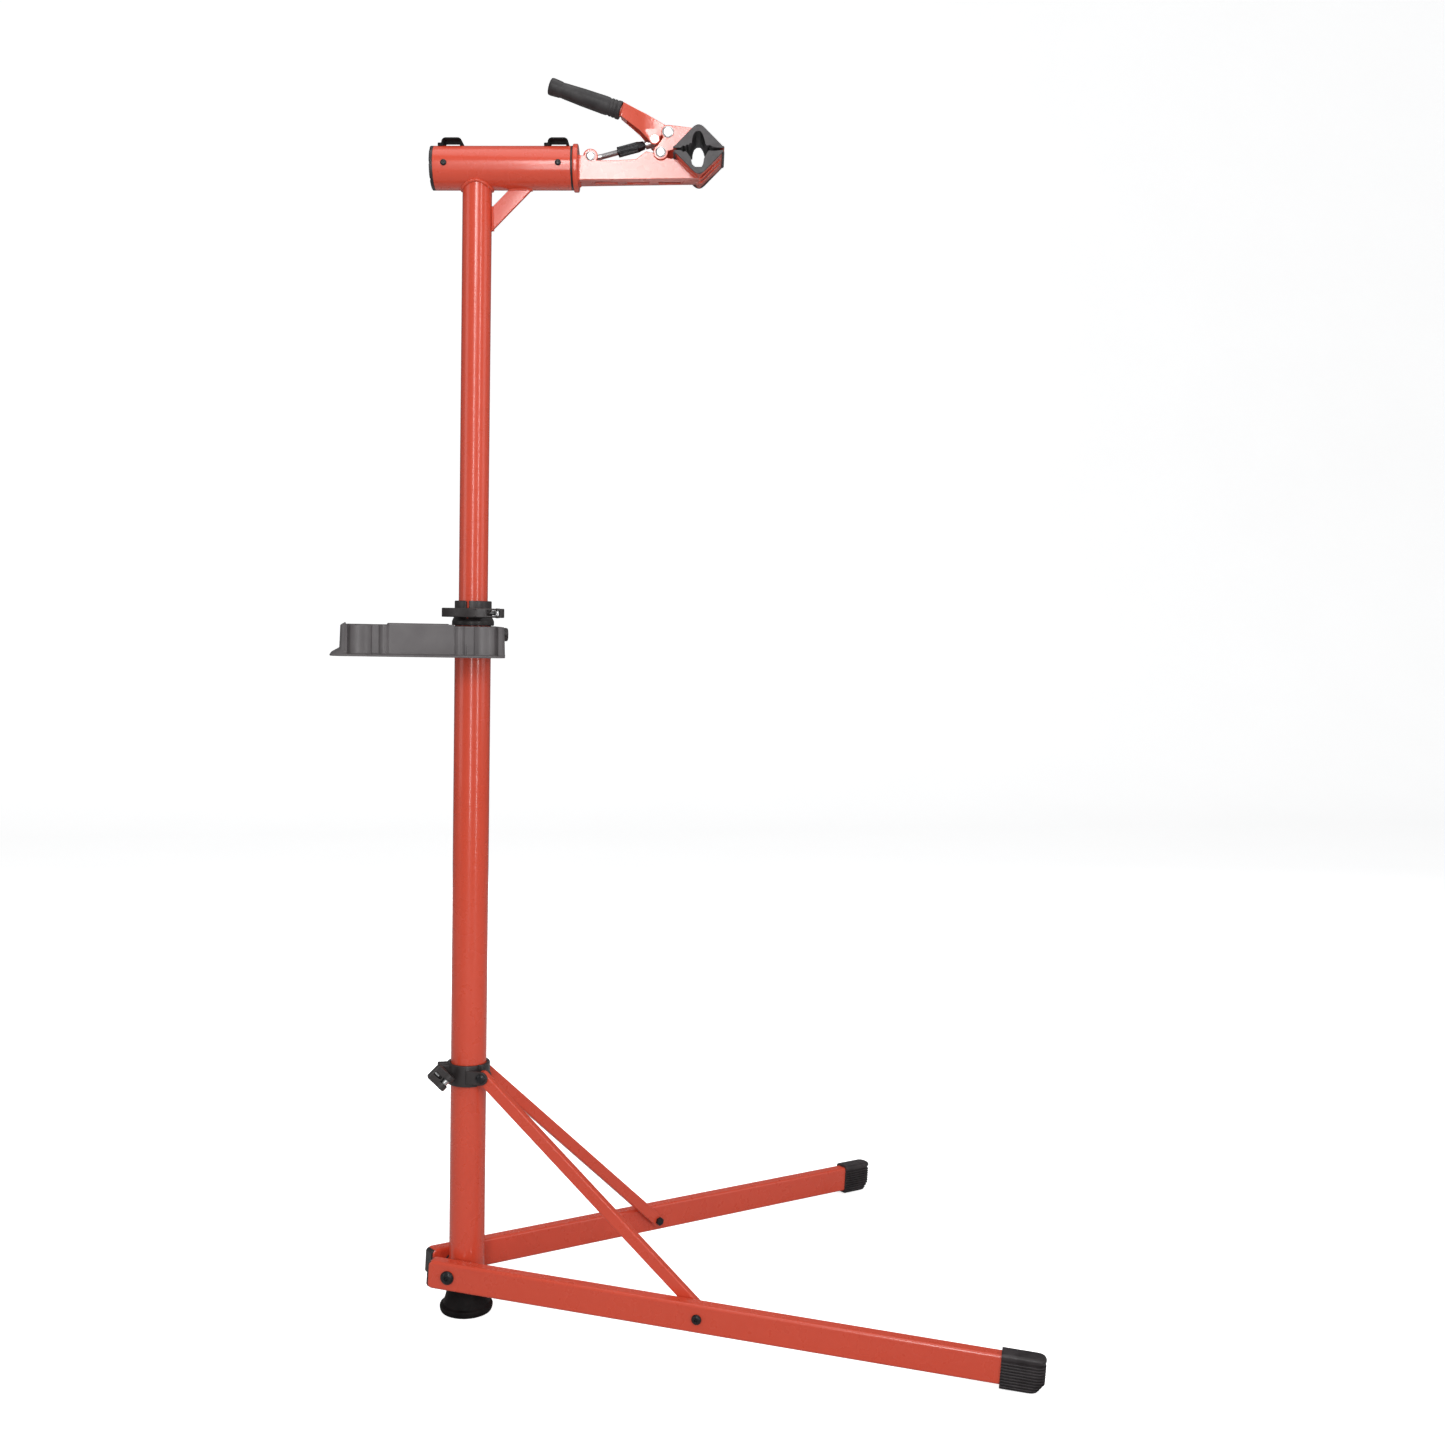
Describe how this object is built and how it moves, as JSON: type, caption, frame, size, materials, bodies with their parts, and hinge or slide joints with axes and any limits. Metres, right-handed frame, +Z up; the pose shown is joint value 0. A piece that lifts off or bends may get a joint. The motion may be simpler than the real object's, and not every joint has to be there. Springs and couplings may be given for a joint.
{
  "type": "bicycle repair stand",
  "caption": "Free-standing bicycle repair stand: telescopic post on two folding braced legs, tool tray and a rotating lever clamp head.",
  "frame": {"origin": "on the post's axis at the floor, under the middle of the post's rubber boot", "axes": "+Z up; +X forward between the two legs; +Y to the left leg"},
  "size_m": [0.9179, 0.7872, 1.722],
  "materials": {
    "orange_paint": "gloss powder coat",
    "black_paint": "satin powder coat",
    "black_plastic": "moulded, fine grain",
    "nylon": "moulded nylon",
    "black_rubber": "moulded rubber",
    "grey_rubber": "ribbed rubber",
    "zinc": "zinc plated",
    "black_steel": "black oxide"
  },
  "bodies": {
    "base": {"lower_post": "orange_paint", "post_boot": "black_rubber", "leg_bosses": "orange_paint", "leg_pivot_bolts": "black_steel", "leg_pivot_washers": "nylon", "height_clamp": "black_plastic", "mast_bush": "nylon", "height_clamp_bolt": "zinc", "height_clamp_pin": "zinc"},
    "collar": {"slide_collar": "black_plastic", "collar_pins": "black_steel", "collar_bolt": "zinc", "collar_cam_seat": "black_plastic", "collar_cam_pin": "zinc"},
    "collar_quick_lever": {"collar_lever": "black_plastic"},
    "height_quick_lever": {"height_clamp_lever": "black_plastic"},
    "tray_slider": {"tray_sleeve": "nylon"},
    "tray": {"tool_tray": "black_plastic"},
    "tray_clamp_knob": {"tray_knob": "black_plastic"},
    "mast_slider": {"glide_bush": "nylon"},
    "mast_and_head": {"mast": "orange_paint", "head_tube": "orange_paint", "head_gusset": "orange_paint", "spindle_bush_rear": "nylon", "spindle_bush_front": "nylon", "bush_screws": "black_steel", "hose_clips": "black_rubber"},
    "clamp": {"clamp_spindle": "orange_paint", "spindle_circlip": "zinc", "clamp_body": "orange_paint", "lower_pad": "grey_rubber", "link_rivet": "zinc", "jaw_rivet": "zinc"},
    "moving_jaw": {"upper_jaw": "orange_paint", "upper_pad": "grey_rubber", "handle_rivet": "zinc"},
    "handle": {"clamp_handle": "orange_paint", "handle_grip": "black_rubber", "rod_rivets": "zinc"},
    "link": {"link_rod": "zinc", "rod_end_block": "zinc"},
    "barrel": {"adjuster_barrel": "zinc"},
    "right_leg": {"leg_right": "orange_paint", "leg_bush_right": "nylon", "leg_plug_right": "black_plastic", "leg_foot_right": "black_rubber", "brace_bolt_right": "black_steel"},
    "right_brace": {"brace_right": "orange_paint", "brace_nut_right": "black_steel"},
    "left_leg": {"leg_left": "orange_paint", "leg_bush_left": "nylon", "leg_plug_left": "black_plastic", "leg_foot_left": "black_rubber", "brace_bolt_left": "black_steel"},
    "left_brace": {"brace_left": "orange_paint", "brace_nut_left": "black_steel"}
  },
  "joints": [
    {"name": "right_leg_fold", "type": "hinge", "parent": "base", "child": "right_leg", "pos_m": [-0.02522, -0.03068, 0.06422], "axis": [-0.4258, -0.9048, 0], "range_deg": [0, 85.88]},
    {"name": "left_leg_fold", "type": "hinge", "parent": "base", "child": "left_leg", "pos_m": [-0.02522, 0.03068, 0.06422], "axis": [0.4258, -0.9048, 0], "range_deg": [0, 85.88]},
    {"name": "collar_slide", "type": "slide", "parent": "base", "child": "collar", "axis": [0, 0, 1], "range_m": [0, 0.51369]},
    {"name": "right_brace_swing", "type": "hinge", "parent": "collar", "child": "right_brace", "pos_m": [0.01799, -0.03223, 0.3455], "axis": [0.4258, 0.9048, 0], "range_deg": [0, 46.41]},
    {"name": "left_brace_swing", "type": "hinge", "parent": "collar", "child": "left_brace", "pos_m": [0.01799, 0.03223, 0.3455], "axis": [-0.4258, 0.9048, 0], "range_deg": [0, 46.41]},
    {"name": "collar_lever_swing", "type": "hinge", "parent": "collar", "child": "collar_quick_lever", "pos_m": [-0.034, -0.0302, 0.341], "axis": [0.7071, 0, 0.7071], "range_deg": [0, 110]},
    {"name": "height_lever_swing", "type": "hinge", "parent": "base", "child": "height_quick_lever", "pos_m": [0.03011, -0.0456, 0.9935], "axis": [0, 0, 1], "range_deg": [0, 90]},
    {"name": "tray_height", "type": "slide", "parent": "base", "child": "tray_slider", "axis": [0, 0, 1], "range_m": [-0.2, 0]},
    {"name": "tray_turn", "type": "hinge", "parent": "tray_slider", "child": "tray", "pos_m": [0, 0, 0.953], "axis": [0, 0, 1], "continuous": true},
    {"name": "tray_knob_turn", "type": "hinge", "parent": "tray", "child": "tray_clamp_knob", "pos_m": [0.039, 0, 0.964], "axis": [1, 0, 0], "continuous": true},
    {"name": "mast_height", "type": "slide", "parent": "base", "child": "mast_slider", "axis": [0, 0, 1], "range_m": [-0.46, 0.1]},
    {"name": "mast_turn", "type": "hinge", "parent": "mast_slider", "child": "mast_and_head", "pos_m": [0, 0, 0.63], "axis": [0, 0, 1], "continuous": true},
    {"name": "clamp_turn", "type": "hinge", "parent": "mast_and_head", "child": "clamp", "pos_m": [0, 0, 1.599], "axis": [0.9779, -0.2079, 0.0236], "continuous": true},
    {"name": "jaw_open", "type": "hinge", "parent": "clamp", "child": "moving_jaw", "pos_m": [0.24459, -0.05199, 1.6209], "axis": [-0.2079, -0.9781, 0], "range_deg": [0, 38]},
    {"name": "handle_swing", "type": "hinge", "parent": "moving_jaw", "child": "handle", "pos_m": [0.25385, -0.05396, 1.64783], "axis": [0.2079, 0.9781, 0], "range_deg": [0, 119.8]},
    {"name": "link_swing", "type": "hinge", "parent": "clamp", "child": "link", "pos_m": [0.1516, -0.03222, 1.61426], "axis": [-0.2079, -0.9781, 0], "range_deg": [0, 17.78]},
    {"name": "barrel_turn", "type": "hinge", "parent": "link", "child": "barrel", "pos_m": [0.1516, -0.03222, 1.61426], "axis": [0.9397, -0.1997, 0.2777], "continuous": true}
  ],
  "couplings": [
    {"joint": "left_leg_fold", "follows": "right_leg_fold", "ratio": 1},
    {"joint": "collar_slide", "follows": "right_leg_fold", "m_per_rad": 0.34238},
    {"joint": "right_brace_swing", "follows": "right_leg_fold", "ratio": 0.53931},
    {"joint": "left_brace_swing", "follows": "right_leg_fold", "ratio": 0.53931},
    {"joint": "handle_swing", "follows": "jaw_open", "ratio": 3.1501},
    {"joint": "link_swing", "follows": "jaw_open", "ratio": 0.46533}
  ]
}
